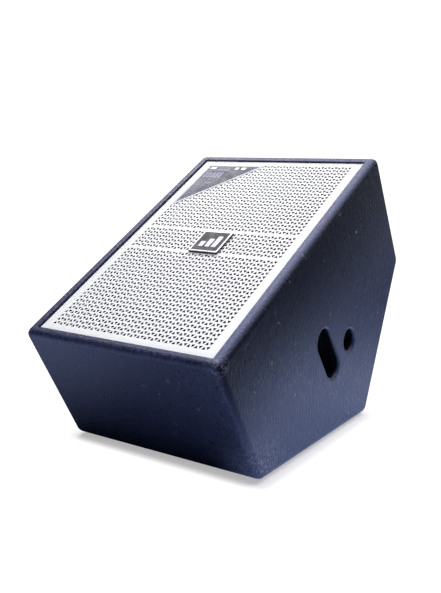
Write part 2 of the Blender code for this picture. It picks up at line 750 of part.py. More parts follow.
def mode_switch():
    """A slide switch. Its slider starts at one end of the slot."""
    frame = INPUT_FRAME @ Matrix.Translation((SWITCH_X, INPUT_Y, 0))
    body = box("mode_switch_body", (-0.011, -0.0055, -0.010), (0.011, 0.0055, 0),
               BLACK_PLASTIC, frame)
    channel = bmesh.new()
    add_box(channel, (-0.0065, -0.0029, -0.003), (0.0065, 0.0029, 0.001))
    cut(body, channel, frame=frame)
    sections = [(0.0020, 0.0024, -0.0026), (0.0020, 0.0024, 0.0022), (0.0028, 0.0034, 0.0022),
                (0.0028, 0.0034, 0.0058), (0.0022, 0.0028, 0.0064)]
    bm = bmesh.new()
    add_loft(bm, [rounded_rectangle(half_x, half_y, 0.0006, z, 1)
                  for half_x, half_y, z in sections])
    start = Matrix.Translation((-SWITCH_TRAVEL / 2, 0, 0))
    piece("mode_switch_slider", bm, BLACK_PLASTIC, frame @ start)


# ---------------------------------------------------------------- handles, socket and feet

def add_cup(bm, side, top, bottom, inner, wall, flange, depth):
    """A cup on a side panel's inner face: flange, wall and closed end."""
    face = INSIDE - GAP
    sections = [(depth, inner - 0.004), (depth - 0.006, inner + wall), (0.003, inner + wall),
                (0.003, flange), (0, flange), (0, inner), (depth - 0.007, inner),
                (depth - 0.003, inner - 0.005)]
    add_loft(bm, [obround(side * (face - inset), top, bottom, radius)
                  for inset, radius in sections])


def side_hardware():
    """The handle cups behind the hand slots, and the pole socket behind the round hole."""
    for name, side in (("handle_cup_left", -1), ("handle_cup_right", 1)):
        bm = bmesh.new()
        add_cup(bm, side, SLOT_TOP, SLOT_BOTTOM, 0.027, 0.003, 0.036, 0.055)
        piece(name, bm, BLACK_PLASTIC)
    bm = bmesh.new()
    add_cup(bm, 1, SOCKET_CENTRE, SOCKET_CENTRE, SOCKET_RADIUS, 0.003, 0.030, 0.085)
    piece("pole_socket", bm, BLACK_PLASTIC)


def feet():
    """Four rubber feet glued to the bottom panel."""
    profile = [(0, GAP), (FOOT_RADIUS, GAP), (FOOT_RADIUS, 0.0015),
               (FOOT_RADIUS - 0.0012, FOOT_HEIGHT), (0.0056, FOOT_HEIGHT), (0.0056, 0.0018),
               (0, 0.0018)]
    far = (KEEL - FRONT_FOOT).length - FOOT_INSET
    places = [(x, y) for y in (FOOT_INSET, far) for x in (FOOT_X, -FOOT_X)]
    bm = bmesh.new()
    add_turned(bm, profile, SMALL_SEGMENTS, GRILLE_FRAME)
    copies("foot", bm, RUBBER, BOTTOM_FRAME, places)


# ---------------------------------------------------------------- wiring

def smooth_route(points, spacing):
    """Points along a smooth curve through the given ones (Catmull-Rom)."""
    padded = [points[0] * 2 - points[1]] + points + [points[-1] * 2 - points[-2]]
    route = []
    for i in range(len(points) - 1):
        p0, p1, p2, p3 = padded[i:i + 4]
        steps = max(1, round((p2 - p1).length / spacing))
        for k in range(steps):
            t = k / steps
            route.append(0.5 * (2 * p1 + (p2 - p0) * t + (2 * p0 - 5 * p1 + 4 * p2 - p3) * t ** 2
                                + (3 * p1 - p0 - 3 * p2 + p3) * t ** 3))
    route.append(points[-1])
    return route


def wire(name, points):
    """A two-core lead between two terminals, as a round tube."""
    curve = bpy.data.curves.new(name, "CURVE")
    curve.dimensions = "3D"
    curve.bevel_depth = 0.003
    curve.bevel_resolution = 2
    curve.use_fill_caps = True
    route = smooth_route([Vector(point) for point in points], 0.014)
    spline = curve.splines.new("POLY")
    spline.points.add(len(route) - 1)
    for target, point in zip(spline.points, route):
        target.co = (*point, 1)
    curve.materials.append(CABLE)
    lead = bpy.data.objects.new(name, curve)
    bpy.context.collection.objects.link(lead)
    lead.parent = STAND


def wiring():
    """Three leads from the crossover to the sockets, the woofer and the horn driver."""
    def board_point(x, y, height):
        return REAR_FRAME @ Vector((-x, y, BOARD_FRONT - 0.001 - height))

    wire("wire_input", [board_point(0.034, 0.176, 0), board_point(0.034, 0.176, 0.020),
                        (0.034, 0.462, -0.215), (0.034, 0.482, -0.178), (0.034, 0.500, -0.142),
                        (0.034, 0.512, -0.120), (0.034, 0.5270, -0.115)])
    wire("wire_woofer", [board_point(0, 0.092, 0), board_point(0, 0.092, 0.025),
                         (0, 0.366, -0.250), (0, 0.348, -0.190), (0, 0.318, -0.136),
                         (0, 0.296, -0.106), (0, 0.288, -0.086), (0, 0.288, -0.0736)])
    wire("wire_horn", [board_point(0, 0.150, 0), board_point(0, 0.150, 0.020),
                       (0, 0.424, -0.236), (0, 0.433, -0.202), (0, 0.434, -0.1750)])


def build():
    side_panels()
    panels = cross_panels()
    baffle()
    cleats()
    lining()
    grille_tray()
    grille_foam()
    badge()
    label()
    woofer_frame()
    woofer_diaphragm()
    woofer_suspension()
    woofer_motor()
    horn()
    hf_driver()
    ports()
    crossover()
    input_plate(panels["rear_upper_panel"])
    speaker_sockets()
    mode_switch()
    side_hardware()
    feet()
    wiring()


build()
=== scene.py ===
"""Looks for the stage monitor wedge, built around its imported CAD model.

Shapes are drawn in the grille frame, as in the CAD source: X across the
cabinet, Y up the sloping grille from its front edge, Z out of the grille, with
the cabinet's rim at Z = 0. TO_ROW takes that frame to the row frame. Metres.
"""

import json
import math
import random

import bmesh
import bpy
from mathutils import Euler, Matrix, Vector, noise

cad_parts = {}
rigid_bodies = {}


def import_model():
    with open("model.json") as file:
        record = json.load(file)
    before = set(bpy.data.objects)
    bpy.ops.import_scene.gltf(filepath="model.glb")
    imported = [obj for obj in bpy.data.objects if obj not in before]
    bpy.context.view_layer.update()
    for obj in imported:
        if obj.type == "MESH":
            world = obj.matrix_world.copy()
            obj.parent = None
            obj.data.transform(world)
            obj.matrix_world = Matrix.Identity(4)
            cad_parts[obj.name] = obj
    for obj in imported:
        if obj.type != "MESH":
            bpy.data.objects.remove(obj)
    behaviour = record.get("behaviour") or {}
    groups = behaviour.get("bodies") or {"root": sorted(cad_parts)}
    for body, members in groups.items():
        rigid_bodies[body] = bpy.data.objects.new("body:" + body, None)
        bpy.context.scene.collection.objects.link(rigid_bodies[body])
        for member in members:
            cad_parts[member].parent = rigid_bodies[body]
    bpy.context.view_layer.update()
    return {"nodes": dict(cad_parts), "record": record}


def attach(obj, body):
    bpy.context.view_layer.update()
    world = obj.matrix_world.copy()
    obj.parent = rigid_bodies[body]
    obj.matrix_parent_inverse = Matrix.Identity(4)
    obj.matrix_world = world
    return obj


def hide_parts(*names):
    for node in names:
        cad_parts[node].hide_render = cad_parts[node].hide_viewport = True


for old in list(bpy.data.objects):
    bpy.data.objects.remove(old)

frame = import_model()
NODES = frame["nodes"]
CABINET = "cabinet"

# Cabinet, as in the CAD source
WIDTH = 0.376
FACE_LENGTH = 0.555
FRONT_DEPTH = 0.228
BACK_DEPTH = 0.220
TILT = math.radians(27.5)
REAR_ANGLE = math.radians(36.7)
EDGE_ROUND = 0.011
FOOT_HEIGHT = 0.004
PLY = 0.018
FRONT_PLY = 0.016
HALF = WIDTH / 2
INSIDE = HALF - PLY

# Grille
GRILLE_TOP = -0.003
GRILLE_SHEET = 0.0005
GRILLE_FOLD = -0.0297
GRILLE_BEND = 0.0012
GRILLE_HALF_WIDTH = 0.168
GRILLE_START = 0.0180
GRILLE_END = 0.5360
HOLE_COLUMNS = 46
HOLE_ROWS = 50
HOLE_PITCH = 0.00659
ROW_PITCH = 0.00965
FIRST_ROW = 0.03508
ROW_BREAK = 0.00526
BREAK_ROWS = (22, 28)
HOLE_WIDTH = 0.0064
HOLE_HEIGHT = 0.0066
HOLE_CORNER = 0.08

# Hand slot and pole socket, as (Y, Z)
SLOT_TOP = Vector((0.2514, -0.1683))
SLOT_BOTTOM = Vector((0.2571, -0.2247))
SLOT_RADIUS = 0.021
SLOT_LIP = 0.006
SOCKET_CENTRE = Vector((0.3240, -0.2250))
SOCKET_RADIUS = 0.018
SOCKET_LIP = 0.0065

# Badge, with its bars as (X, height), and label
BADGE_CENTRE = (0.0056, 0.2732)
BADGE_HALF = 0.0286
BADGE_BORDER = 0.0030
BADGE_TOP = 0.0008
BADGE_BARS = ((-0.0130, 0.014), (0.0, 0.022), (0.0130, 0.030))
BADGE_BAR_WIDTH = 0.0088
BADGE_BAR_FOOT = -0.0150
LABEL_CORNER = Vector((-0.1520, 0.5215))
LABEL_WIDTH = 0.1275
LABEL_HEIGHT = 0.1465
LABEL_MARGIN = 0.0048
LABEL_BASE = GRILLE_TOP + 0.0003
FILM_LAYER = (LABEL_BASE, LABEL_BASE + 0.0002)
FIELD_LAYER = (LABEL_BASE + 0.00025, LABEL_BASE + 0.00035)
PRINT_LAYER = (LABEL_BASE + 0.00040, LABEL_BASE + 0.00048)

# Printed marks as (left, length), and heading bars as (left, down, length, thick)
LABEL_MARKS = ((0.0100, 0.0130), (0.0660, 0.0080), (0.0800, 0.0100))
LABEL_HEADING = ((0.0270, 0.0095, 0.0290, 0.0022), (0.0270, 0.0135, 0.0290, 0.0070),
                 (0.0090, 0.0215, 0.0620, 0.0020))
LABEL_TEXT_LEFT = 0.0090
LABEL_TEXT_TOP = 0.0520
LABEL_TEXT_END = 0.1180

# Input plate, its opening, and its sockets, switch and screws
INPUT_Y = 0.105
OPENING_HALF_WIDTH = 0.052
OPENING_HALF_HEIGHT = 0.032
OPENING_CORNER = 0.004
SOCKET_A_X = -0.034
SOCKET_B_X = 0.004
SWITCH_X = 0.040
PLATE_TOP = 0.0018
PLATE_SCREW_X = 0.0565
PLATE_SCREW_Y = 0.0365
SCREW_SEAT = PLATE_TOP + 0.0003
SCREW_TOP = PLATE_TOP + 0.0019
SCREW_TIP = -0.0112
SCREW_HEAD_RADIUS = 0.0032
SCREW_SHANK_RADIUS = 0.0014
RECESS_DEPTH = 0.0010
RECESS_ARM = 0.0018
RECESS_HALF_WIDTH = 0.00035
CORE_RADIUS = 0.0036
CORE_TOP = 0.0030
CORE_CHAMFER = 0.0006
RIB_INNER = 0.0082
RIB_OUTER = 0.0103
RIB_TOP = 0.0020
RIB_HALF_WIDTH = 0.0009
WELL_FLOOR = -0.0118
INK = (PLATE_TOP + 0.00002, PLATE_TOP + 0.00012)

# Foam behind the grille, and the wadding in the bottom
FOAM_HALF_WIDTH = 0.1545
FOAM_MIDDLE = 0.27675
FOAM_HALF_LENGTH = 0.24975
FOAM_BACK = -0.0078
FOAM_THICKNESS = 0.003
FOAM_WAVE = 0.0003
LINING_THICKNESS = 0.019
LINING_HALF_WIDTH = 0.14
LINING_MIDDLE = 0.175
LINING_HALF_LENGTH = 0.125
LINING_WAVE = 0.003
LINING_TACKS = [(x, y) for x in (-0.09, 0.0, 0.09) for y in (-0.075, 0.075)]
TACK_DEPTH = 0.62
TACK_REACH = 0.016
SLAB_ROWS = 56
SLAB_COLUMNS = 64

# Woofer surround
WOOFER_Y = 0.178
SURROUND_SEAT = -0.0244
SURROUND_LIP = 0.0010
SURROUND_OUTER_EDGE = 0.1432
SURROUND_INNER_EDGE = 0.1125
ROLL_RADIUS = 0.1282
ROLL_OUTSIDE = 0.0094
ROLL_INSIDE = 0.0084

# Wear on the right side: corners as (X, Z, reach), a chip as (Y, Z), nicks as (Y, Z, reach)
WORN_CORNERS = ((HALF, -FRONT_DEPTH, 0.100), (HALF, 0.0, 0.035), (-HALF, 0.0, 0.018))
CHIP = (0.425, -0.070)
NICKS = ((0.068, -0.022, 0.0070), (0.275, -0.014, 0.0055))

# Paint: base tones, painted shade tones for the sides below the rim and for the holes, and the
# tints of its reflections
NAVY_LOW = (0.0085, 0.0125, 0.0290)
NAVY_HIGH = (0.0125, 0.0170, 0.0370)
NAVY_GRAIN = (0.0370, 0.0430, 0.0880)
NAVY_SHADED = (0.0020, 0.0032, 0.0080)
SCUFF_TONE = (0.20, 0.20, 0.21)
HOLE_SHADE = (0.0035, 0.0042, 0.0070)
NICK_TONE = (0.002, 0.002, 0.004)
FRONT_TINT = (0.62, 0.67, 1.0)
RIM_TINT = (0.50, 0.53, 1.0)
SIDE_TINT_SHADED = (0.07, 0.12, 0.36)
SIDE_TINT_LOW = (0.58, 0.66, 1.0)
PAINT_SHINE = 0.70

# Stage: the camera, turned in degrees, and lamps as (name, place, aim, size, power, colour)
FLOOR_RADIUS = 12
CAMERA_PLACE = (0.7847, -1.1380, 0.5202)
CAMERA_TURN = (78.113, 0.842, 34.931)
CAMERA_LENS = 49.4
LAMPS = (
    ("overhead", (0.05, 1.0, 2.6), (0.05, 1.0, 0), (4.8, 3.1), 144, (1.0, 1.0, 1.0)),
    ("left_back", (-2.1, 1.7, 2.4), (0, 0.1, 0.4), (0.9, 1.0), 16, (1.0, 1.0, 1.0)),
    ("front_high", (-0.5, -1.2, 2.3), (0, 0, 0.3), (1.0, 1.0), 9, (1.0, 1.0, 1.0)),
    ("backdrop_glow", (1.8, 3.6, 1.0), (0, 0, 0.3), (3.5, 2.0), 18, (0.9, 0.93, 1.0)),
)


# ---------------------------------------------------------------- frames

def place_of_grille_frame():
    """The CAD source stands the grille frame on its feet, centred front to back."""
    turn = Matrix.Rotation(TILT, 4, "X")
    shell = rounded_cabinet(4)
    turned = [turn @ vertex.co for vertex in shell.verts]
    shell.free()
    middle = (min(p.y for p in turned) + max(p.y for p in turned)) / 2
    lowest = min(p.z for p in turned)
    return Matrix.Translation((0, -middle, FOOT_HEIGHT - lowest)) @ turn


def meeting_point(a, along_a, b, along_b):
    """Where the line through a meets the line through b."""
    reach = (b - a).cross(along_b) / along_a.cross(along_b)
    return a + along_a * reach


FRONT_RIM = Vector((0, 0))
FRONT_FOOT = Vector((0, -FRONT_DEPTH))
BACK_CORNER = Vector((FACE_LENGTH, -BACK_DEPTH))
BACK_RIM = Vector((FACE_LENGTH, 0))
KEEL = meeting_point(
    FRONT_FOOT, Vector((math.cos(TILT), -math.sin(TILT))),
    BACK_CORNER, Vector((-math.cos(REAR_ANGLE), -math.sin(REAR_ANGLE))))
OUTLINE = [FRONT_RIM, FRONT_FOOT, KEEL, BACK_CORNER, BACK_RIM]
PANEL_PLY = [FRONT_PLY, PLY, PLY, PLY]


def panel_frame(start, end):
    """A frame on a panel's outer face: origin at start, Y towards end, Z outward."""
    along = (end - start).normalized()
    y_axis = Vector((0, along.x, along.y))
    z_axis = Vector((0, along.y, -along.x))
    axes = Matrix((y_axis.cross(z_axis), y_axis, z_axis)).transposed().to_4x4()
    axes.translation = (0, start.x, start.y)
    return axes


INPUT_FRAME = panel_frame(BACK_CORNER, BACK_RIM)


# ---------------------------------------------------------------- mesh tools

def add_band(bm, ring, following):
    """A band of faces between two equal rings of vertices."""
    for i, vert in enumerate(ring):
        after = (i + 1) % len(ring)
        bm.faces.new((vert, ring[after], following[after], following[i]))


def add_loft(bm, loops, closed=False):
    """A skin over equal loops of points, capped at its two ends unless it closes on itself."""
    rings = [[bm.verts.new(point) for point in loop] for loop in loops]
    for ring, following in zip(rings, rings[1:]):
        add_band(bm, ring, following)
    if closed:
        add_band(bm, rings[-1], rings[0])
    else:
        bm.faces.new(rings[0][::-1])
        bm.faces.new(rings[-1])


def add_prism(bm, outline, x_low, x_high):
    """A (Y, Z) outline drawn out along X."""
    add_loft(bm, [[Vector((x, point.x, point.y)) for point in outline] for x in (x_low, x_high)])


def add_turned(bm, profile, segments, place=Matrix.Identity(4)):
    """A solid turned about a frame's Z from a closed outline of (radius, z) points."""
    rings = []
    for radius, z in profile:
        count = segments if radius > 0 else 1
        angles = [math.tau * i / segments for i in range(count)]
        points = [Vector((radius * math.cos(a), radius * math.sin(a), z)) for a in angles]
        rings.append([bm.verts.new(place @ point) for point in points])
    for ring, following in zip(rings, rings[1:] + rings[:1]):
        for i in range(segments):
            after = (i + 1) % segments
            corners = [ring[i % len(ring)], ring[after % len(ring)],
                       following[after % len(following)], following[i % len(following)]]
            corners = list(dict.fromkeys(corners))
            if len(corners) > 2:
                bm.faces.new(corners)


def rounded_rectangle(half_x, half_y, corner, z, steps=4):
    points = []
    for quarter, (sign_x, sign_y) in enumerate(((1, 1), (-1, 1), (-1, -1), (1, -1))):
        centre = Vector((sign_x * (half_x - corner), sign_y * (half_y - corner), z))
        for i in range(steps + 1):
            angle = math.pi / 2 * (quarter + i / steps)
            points.append(centre + Vector((math.cos(angle), math.sin(angle), 0)) * corner)
    return points


def obround(x, top, bottom, radius, steps=24):
    """A loop at one X round the line from top to bottom, given in (Y, Z)."""
    line = (top - bottom).normalized() if top != bottom else Vector((0, 1))
    start_angle = math.atan2(line.y, line.x) - math.pi / 2
    points = []
    for centre, first in ((top, start_angle), (bottom, start_angle + math.pi)):
        for i in range(steps + 1):
            if top == bottom and i == steps:
                continue
            angle = first + math.pi * i / steps
            points.append(Vector((x, centre.x + radius * math.cos(angle),
                                  centre.y + radius * math.sin(angle))))
    return points


def rounded_cabinet(steps):
    """The cabinet's outer shape as one solid, with every edge rounded."""
    bm = bmesh.new()
    add_prism(bm, OUTLINE, -HALF, HALF)
    bmesh.ops.bevel(bm, geom=bm.edges[:], offset=EDGE_ROUND, segments=steps,
                    profile=0.5, affect="EDGES")
    bmesh.ops.recalc_face_normals(bm, faces=bm.faces[:])
    return bm


TO_ROW = place_of_grille_frame()


def mesh_object(name, bm, place):
    bm.transform(TO_ROW @ place)
    bmesh.ops.recalc_face_normals(bm, faces=bm.faces[:])
    mesh = bpy.data.meshes.new(name)
    bm.to_mesh(mesh)
    bm.free()
    item = bpy.data.objects.new(name, mesh)
    bpy.context.scene.collection.objects.link(item)
    return item


def piece(name, bm, materials, place=Matrix.Identity(4), replaces=(), sharp=35,
          body=CABINET):
    """A visible piece on one of the bodies."""
    item = mesh_object(name, bm, place)
    for material in materials:
        item.data.materials.append(material)
    item.data.shade_smooth()
    item.data.set_sharp_from_angle(angle=math.radians(sharp))
    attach(item, body)
    if replaces:
        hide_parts(*replaces)
    return item


# ---------------------------------------------------------------- materials

class Shader:
    """A material's node tree, with short calls to add and join nodes."""

    def __init__(self, name):
        self.material = bpy.data.materials.new(name)
        self.material.use_nodes = True
        self.tree = self.material.node_tree
        self.surface = self.tree.nodes["Principled BSDF"]
        self.coords = self.tree.nodes.new("ShaderNodeTexCoord").outputs["Object"]

    def node(self, kind, settings=None, **inputs):
        made = self.tree.nodes.new(kind)
        for key, value in (settings or {}).items():
            setattr(made, key, value)
        for key, value in inputs.items():
            self.put(made.inputs[key.replace("_", " ")], value)
        return made

    def put(self, socket, value):
        if isinstance(value, bpy.types.NodeSocket):
            self.tree.links.new(value, socket)
        else:
            socket.default_value = value

    def set(self, **inputs):
        for key, value in inputs.items():
            self.put(self.surface.inputs[key.replace("_", " ")], value)

    def stretched(self, scale):
        made = self.node("ShaderNodeMapping", Scale=scale)
        self.put(made.inputs["Vector"], self.coords)
        return made.outputs["Vector"]

    def noise(self, scale, detail=2.0, roughness=0.5, vector=None):
        made = self.node("ShaderNodeTexNoise", Scale=scale, Detail=detail, Roughness=roughness,
                         Vector=vector or self.coords)
        return made.outputs["Fac"]

    def ramp(self, value, low, high, to_low=0.0, to_high=1.0):
        made = self.node("ShaderNodeMapRange", {"interpolation_type": "SMOOTHSTEP"},
                         Value=value, From_Min=low, From_Max=high, To_Min=to_low, To_Max=to_high)
        return made.outputs["Result"]

    def math(self, operation, a, b=0.0):
        made = self.tree.nodes.new("ShaderNodeMath")
        made.operation = operation
        self.put(made.inputs[0], a)
        self.put(made.inputs[1], b)
        return made.outputs[0]

    def vector_math(self, operation, a, b=(0, 0, 0), output="Vector"):
        made = self.tree.nodes.new("ShaderNodeVectorMath")
        made.operation = operation
        self.put(made.inputs[0], a)
        self.put(made.inputs[1], b)
        return made.outputs[output]

    def distance(self, point, scale=(1, 1, 1)):
        """Distance from a point in the row frame, with each axis stretched by scale."""
        away = self.vector_math("SUBTRACT", self.coords, tuple(point))
        away = self.vector_math("MULTIPLY", away, scale)
        return self.vector_math("LENGTH", away, output="Value")

    def axis(self, letter):
        """One coordinate in the row frame."""
        return self.node("ShaderNodeSeparateXYZ", Vector=self.coords).outputs[letter]

    def distance_from_base(self):
        """Distance over the floor from the rectangle that the cabinet stands on."""
        front = TO_ROW @ Vector((0, FRONT_FOOT.x, FRONT_FOOT.y))
        keel = TO_ROW @ Vector((0, KEEL.x, KEEL.y))
        middle, half = (front.y + keel.y) / 2, (keel.y - front.y) / 2
        across = self.math("SUBTRACT", self.math("ABSOLUTE", self.axis("X")), HALF)
        along = self.math("ABSOLUTE", self.math("SUBTRACT", self.axis("Y"), middle))
        along = self.math("SUBTRACT", along, half)
        corner = self.node("ShaderNodeCombineXYZ", X=self.math("MAXIMUM", across),
                           Y=self.math("MAXIMUM", along))
        return self.vector_math("LENGTH", corner.outputs[0], output="Value")

    def below_rim(self):
        """How far a point lies below the plane of the cabinet's rim."""
        normal = TO_ROW.to_3x3() @ Vector((0, 0, 1))
        height = self.vector_math("DOT_PRODUCT", self.coords, tuple(normal), "Value")
        return self.math("SUBTRACT", normal.dot(TO_ROW.translation), height)

    def mix(self, share, a, b):
        """A colour between a and b."""
        made = self.tree.nodes.new("ShaderNodeMix")
        made.data_type = "RGBA"
        self.put(made.inputs["Factor"], share)
        for socket, value in ((made.inputs[6], a), (made.inputs[7], b)):
            self.put(socket, value if isinstance(value, bpy.types.NodeSocket) else (*value, 1))
        return made.outputs[2]

    def mix_shaders(self, share, a, b):
        made = self.tree.nodes.new("ShaderNodeMixShader")
        for socket, value in zip(made.inputs, (share, a, b)):
            self.put(socket, value)
        return made.outputs[0]

    def bump(self, height, distance, strength=1.0):
        made = self.node("ShaderNodeBump", Height=height, Distance=distance, Strength=strength)
        return made.outputs["Normal"]


def row_point(x, y, z):
    return TO_ROW @ Vector((x, y, z))


def worn_spots(s):
    """Where the paint is scuffed pale: mostly at the corners that meet the floor and the case."""
    worn = 0.0
    for x, z, reach in WORN_CORNERS:
        away = s.distance(row_point(x, 0, z))
        worn = s.math("MAXIMUM", worn, s.ramp(away, reach, reach * 0.2))
    specks = s.ramp(s.noise(300, 4.0, 0.65), 0.52, 0.58)
    scattered = s.ramp(s.noise(70, 2.0, 0.5), 0.70, 0.74, 0.0, 0.6)
    scuffs = s.math("MAXIMUM", s.math("MULTIPLY", specks, worn), scattered)
    chip = s.ramp(s.distance(row_point(HALF, *CHIP)), 0.0032, 0.0020)
    return s.math("MAXIMUM", s.math("MULTIPLY", scuffs, 0.75), chip)


def dark_nicks(s):
    """Two small dents by the rim of the right side."""
    ragged = s.math("MULTIPLY", s.noise(260, 2.0), 0.004)
    nicks = 0.0
    for y, z, reach in NICKS:
        away = s.math("ADD", s.distance(row_point(HALF, y, z)), ragged)
        nicks = s.math("MAXIMUM", nicks, s.ramp(away, reach, reach * 0.7))
    return nicks


def shaded_hole_walls(s, across):
    """The walls of the hand slots and the pole socket, behind their lips, where painted shade
    darkens the paint and dulls its reflections.
    """
    slot = row_point(0, (SLOT_TOP.x + SLOT_BOTTOM.x) / 2, (SLOT_TOP.y + SLOT_BOTTOM.y) / 2)
    socket = row_point(0, *SOCKET_CENTRE)
    near = s.math("MAXIMUM", s.ramp(s.distance(slot, (0, 1, 1)), 0.062, 0.057),
                  s.ramp(s.distance(socket, (0, 1, 1)), 0.028, 0.026))
    return s.math("MULTIPLY", near, s.ramp(across, HALF - 0.0010, HALF - 0.0055))


def paint_colour(s, grain, below, side):
    """Navy with a paler grain, and painted shade darkening the two sides towards the rim."""
    broad = s.noise(11, 3.0, 0.6)
    colour = s.mix(s.ramp(broad, 0.35, 0.7), NAVY_LOW, NAVY_HIGH)
    colour = s.mix(s.ramp(grain, 0.40, 0.64), colour, NAVY_GRAIN)
    # painted shade: the two sides are mixed towards NAVY_SHADED near the rim
    painted_shade = s.math("MULTIPLY", side, s.ramp(below, 0.0, 0.25, 0.90, 0.0))
    return s.mix(painted_shade, colour, NAVY_SHADED)


def paint_tint(s, below, side):
    """The tint of the reflections: blue, and weakened by painted shade on the sides just below the
    rim.
    """
    # painted shade: reflections on the sides dim towards the rim
    side_tint = s.mix(s.ramp(below, 0.0, 0.20), SIDE_TINT_SHADED, SIDE_TINT_LOW)
    tint = s.mix(side, FRONT_TINT, side_tint)
    return s.mix(s.ramp(below, 0.004, 0.012), RIM_TINT, tint)


def paint_shine(s, below, side, holes):
    """How strongly the paint reflects: least in the holes and below the rim, where painted shade
    dulls it, and most on the right rim, where a painted highlight raises it.
    """
    # painted shade: weaker reflections on the sides just below the rim, a little stronger low
    # down, and weaker in the holes
    shade_dimming = s.math("MULTIPLY", side, s.ramp(below, 0.0, 0.22, 0.56, -0.12))
    shade_dimming = s.math("MAXIMUM", shade_dimming, s.math("MULTIPLY", holes, 0.55))
    # painted highlight: stronger reflections along the right rim only
    painted_highlight = s.math("MULTIPLY", s.ramp(below, 0.010, 0.003, 0.0, 0.30),
                      s.ramp(s.axis("X"), HALF - 0.030, HALF - 0.020))
    return s.math("ADD", s.math("SUBTRACT", PAINT_SHINE, shade_dimming), painted_highlight)


def cabinet_paint():
    """Thick textured navy paint: mottled grain drawn out downwards, scuffs and a few chips, with
    painted shade on the sides and in the holes and a painted highlight on the right rim.
    """
    s = Shader("textured_paint")
    grain = s.noise(300, 3.0, 0.65, s.stretched((1.0, 1.0, 0.40)))
    pebble = s.noise(420, 3.0, 0.6, s.stretched((1.0, 1.0, 0.6)))
    below = s.below_rim()
    across = s.math("ABSOLUTE", s.axis("X"))
    side = s.ramp(across, HALF - 0.010, HALF - 0.001)
    # painted shade mask for the walls of the slots and the socket
    holes = shaded_hole_walls(s, across)
    nicks = dark_nicks(s)
    colour = paint_colour(s, grain, below, side)
    for share, tone in ((worn_spots(s), SCUFF_TONE), (holes, HOLE_SHADE), (nicks, NICK_TONE)):
        colour = s.mix(share, colour, tone)
    height = s.math("ADD", s.math("MULTIPLY", pebble, 0.4), grain)
    height = s.math("SUBTRACT", height, s.math("MULTIPLY", nicks, 1.5))
    s.set(Base_Color=colour, Roughness=s.ramp(grain, 0.3, 0.7, 0.26, 0.52),
          Specular_IOR_Level=paint_shine(s, below, side, holes),
          Specular_Tint=paint_tint(s, below, side), Normal=s.bump(height, 0.0016, 0.8))
    return s.material


def white_coat():
    """White enamel with a faint orange peel, with painted shade making it a little darker towards
    the grille's top.
    """
    s = Shader("white_powder_coat")
    peel = s.noise(1600, 2.0, 0.5)
    shade = s.mix(s.noise(14, 2.0), (0.86, 0.86, 0.875), (0.90, 0.90, 0.91))
    # painted shade: the coat darkens towards the grille's top
    shade = s.mix(s.ramp(s.axis("Z"), 0.22, 0.36), shade, (0.765, 0.765, 0.775))
    s.set(Base_Color=shade, Roughness=0.42, Normal=s.bump(peel, 0.00006, 0.5))
    return s.material


def simple_material(name, colour, roughness, metallic=0.0, grain=1200, depth=0.00004, spread=0.25):
    """A plain finish with a little variation of tone and a fine surface grain."""
    s = Shader(name)
    tone = s.noise(60, 3.0, 0.6)
    darker = tuple(c * (1 - spread) for c in colour)
    lighter = tuple(min(1.0, c * (1 + spread)) for c in colour)
    s.set(Base_Color=s.mix(tone, darker, lighter), Metallic=metallic,
          Roughness=s.ramp(tone, 0.3, 0.7, roughness * 0.85, min(1.0, roughness * 1.15)),
          Normal=s.bump(s.noise(grain, 2.0), depth))
    return s.material


def foam_material():
    s = Shader("open_cell_foam")
    cells = s.node("ShaderNodeTexVoronoi", Scale=900.0, Vector=s.coords).outputs["Distance"]
    shade = s.mix(s.ramp(cells, 0.1, 0.6), (0.012, 0.012, 0.014), (0.003, 0.003, 0.0035))
    s.set(Base_Color=shade, Roughness=1.0, Specular_IOR_Level=0.1,
          Normal=s.bump(cells, 0.0006))
    return s.material


def plywood_material():
    s = Shader("birch_plywood")
    grain = s.noise(55, 4.0, 0.6, s.stretched((0.15, 1.0, 4.0)))
    s.set(Base_Color=s.mix(grain, (0.42, 0.28, 0.14), (0.62, 0.46, 0.27)), Roughness=0.7,
          Normal=s.bump(grain, 0.0003))
    return s.material


def pcb_material():
    s = Shader("solder_mask")
    tone = s.noise(90, 2.0)
    s.set(Base_Color=s.mix(tone, (0.012, 0.08, 0.025), (0.02, 0.12, 0.04)), Roughness=0.35,
          Normal=s.bump(tone, 0.0001))
    return s.material


PAINT = cabinet_paint()
WHITE = white_coat()
BLACK_PLASTIC = simple_material("moulded_black", (0.014, 0.014, 0.016), 0.45)
GLOSS_BLACK = simple_material("badge_side", (0.012, 0.012, 0.015), 0.30)
PLATE_INK = simple_material("plate_ink", (0.62, 0.62, 0.64), 0.5)
SILVER = simple_material("badge_border", (0.90, 0.90, 0.92), 0.35, 0.1, spread=0.05)
BADGE_DARK = simple_material("badge_field", (0.028, 0.029, 0.042), 0.60)
MARK_WHITE = simple_material("badge_mark", (0.90, 0.90, 0.92), 0.45, spread=0.04)
FILM = simple_material("clear_film", (0.48, 0.48, 0.58), 0.45)
FIELD = simple_material("label_field", (0.047, 0.049, 0.078), 0.55)
PRINT = simple_material("label_print", (0.25, 0.25, 0.33), 0.60)
RUBBER = simple_material("rubber", (0.018, 0.018, 0.019), 0.85, grain=600, depth=0.0001)
BLACK_STEEL = simple_material("black_steel", (0.022, 0.022, 0.025), 0.38, 0.3)
ZINC = simple_material("zinc_plate", (0.50, 0.51, 0.53), 0.32, 1.0)
